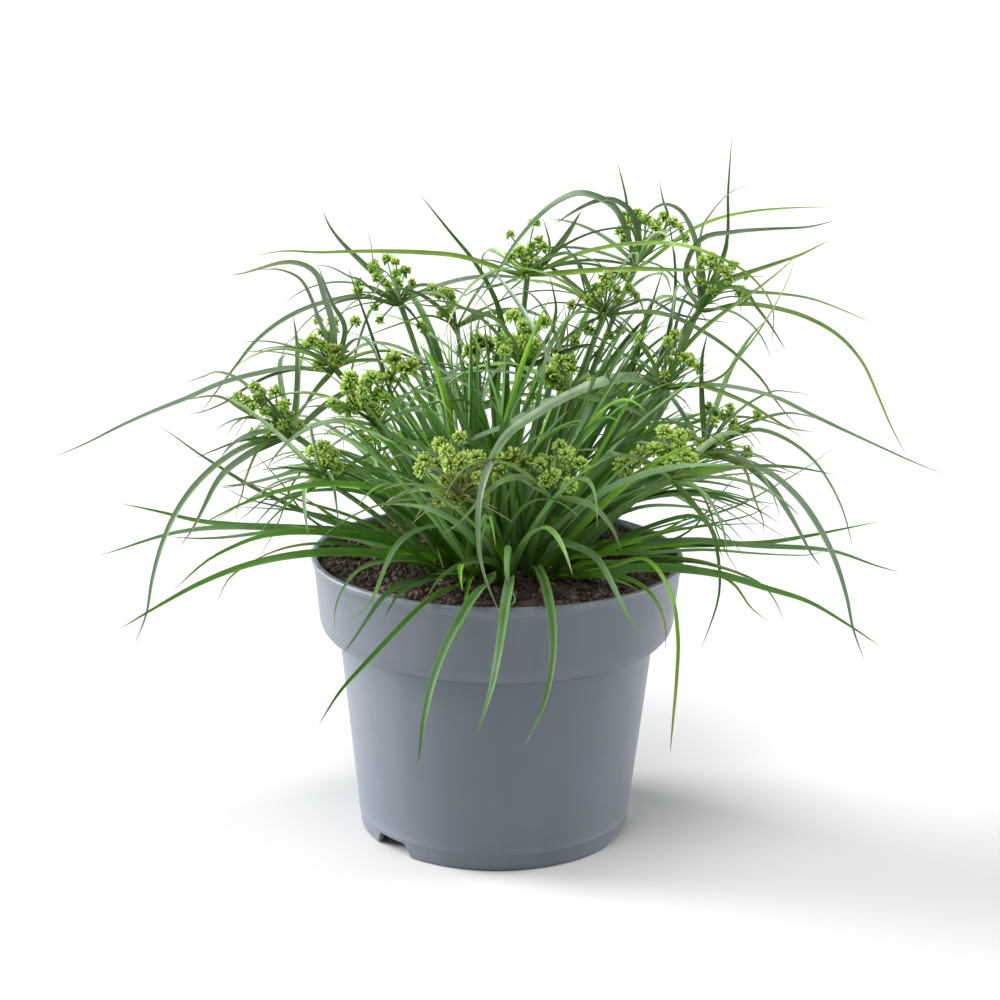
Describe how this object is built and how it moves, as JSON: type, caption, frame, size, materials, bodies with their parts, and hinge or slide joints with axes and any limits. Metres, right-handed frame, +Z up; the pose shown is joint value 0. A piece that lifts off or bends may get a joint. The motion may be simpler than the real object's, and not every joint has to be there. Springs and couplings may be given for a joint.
{
  "type": "potted sedge",
  "caption": "Tufted sedge with arching grassy leaves and leafy bracts under lobed flower heads, growing in soil in a collared round nursery pot with a notched foot ring.",
  "frame": {"origin": "on the floor, at the middle of the underside of the pot", "axes": "+Z up along the pot's axis; +X to the right and -Y towards the viewer of the picture"},
  "size_m": [0.5337, 0.414, 0.4296],
  "materials": {
    "pot_plastic": "satin",
    "potting_soil": "matte",
    "culm_green": "satin",
    "flower_green": "matte",
    "bract_green": "satin",
    "leaf_green": "satin"
  },
  "bodies": {
    "root": {"bract_01_upper_left": "bract_green", "bract_02_high_left": "bract_green", "bract_03_left": "bract_green", "bract_04_high_middle": "bract_green", "bract_05_high_middle": "bract_green", "bract_06_high_right": "bract_green", "bract_07_high_right": "bract_green", "bract_08_upper_right": "bract_green", "bract_09_right_inner": "bract_green", "bract_10_right": "bract_green", "bract_11_right_inner": "bract_green", "culm_front": "culm_green", "culm_front_pale": "culm_green", "culm_high_left": "culm_green", "culm_high_middle": "culm_green", "culm_high_right": "culm_green", "culm_inner_left": "culm_green", "culm_inner_right_olive": "culm_green", "culm_left": "culm_green", "culm_low_right": "culm_green", "culm_middle": "culm_green", "culm_middle_olive": "culm_green", "culm_right": "culm_green", "culm_right_inner": "culm_green", "culm_right_middle": "culm_green", "culm_upper_left": "culm_green", "culm_upper_right": "culm_green", "flower_head_front": "flower_green", "flower_head_front_pale": "flower_green", "flower_head_high_left": "flower_green", "flower_head_high_middle": "flower_green", "flower_head_high_right": "flower_green", "flower_head_inner_left": "flower_green", "flower_head_inner_right_olive": "flower_green", "flower_head_left": "flower_green", "flower_head_low_right": "flower_green", "flower_head_middle": "flower_green", "flower_head_middle_olive": "flower_green", "flower_head_right": "flower_green", "flower_head_right_inner": "flower_green", "flower_head_right_middle": "flower_green", "flower_head_upper_left": "flower_green", "flower_head_upper_right": "flower_green", "leaf_back_left": "leaf_green", "leaf_back_low_right": "leaf_green", "leaf_back_middle": "leaf_green", "leaf_back_right": "leaf_green", "leaf_front_far_left": "leaf_green", "leaf_front_far_right": "leaf_green", "leaf_front_left": "leaf_green", "leaf_front_middle": "leaf_green", "leaf_front_right": "leaf_green", "leaf_low_left_back": "leaf_green", "leaf_low_left_front": "leaf_green", "leaf_low_right_back": "leaf_green", "leaf_low_right_front": "leaf_green", "leaf_tall_back_left": "leaf_green", "leaf_tall_back_right": "leaf_green", "pot": "pot_plastic", "potting_soil": "potting_soil"}
  },
  "joints": []
}
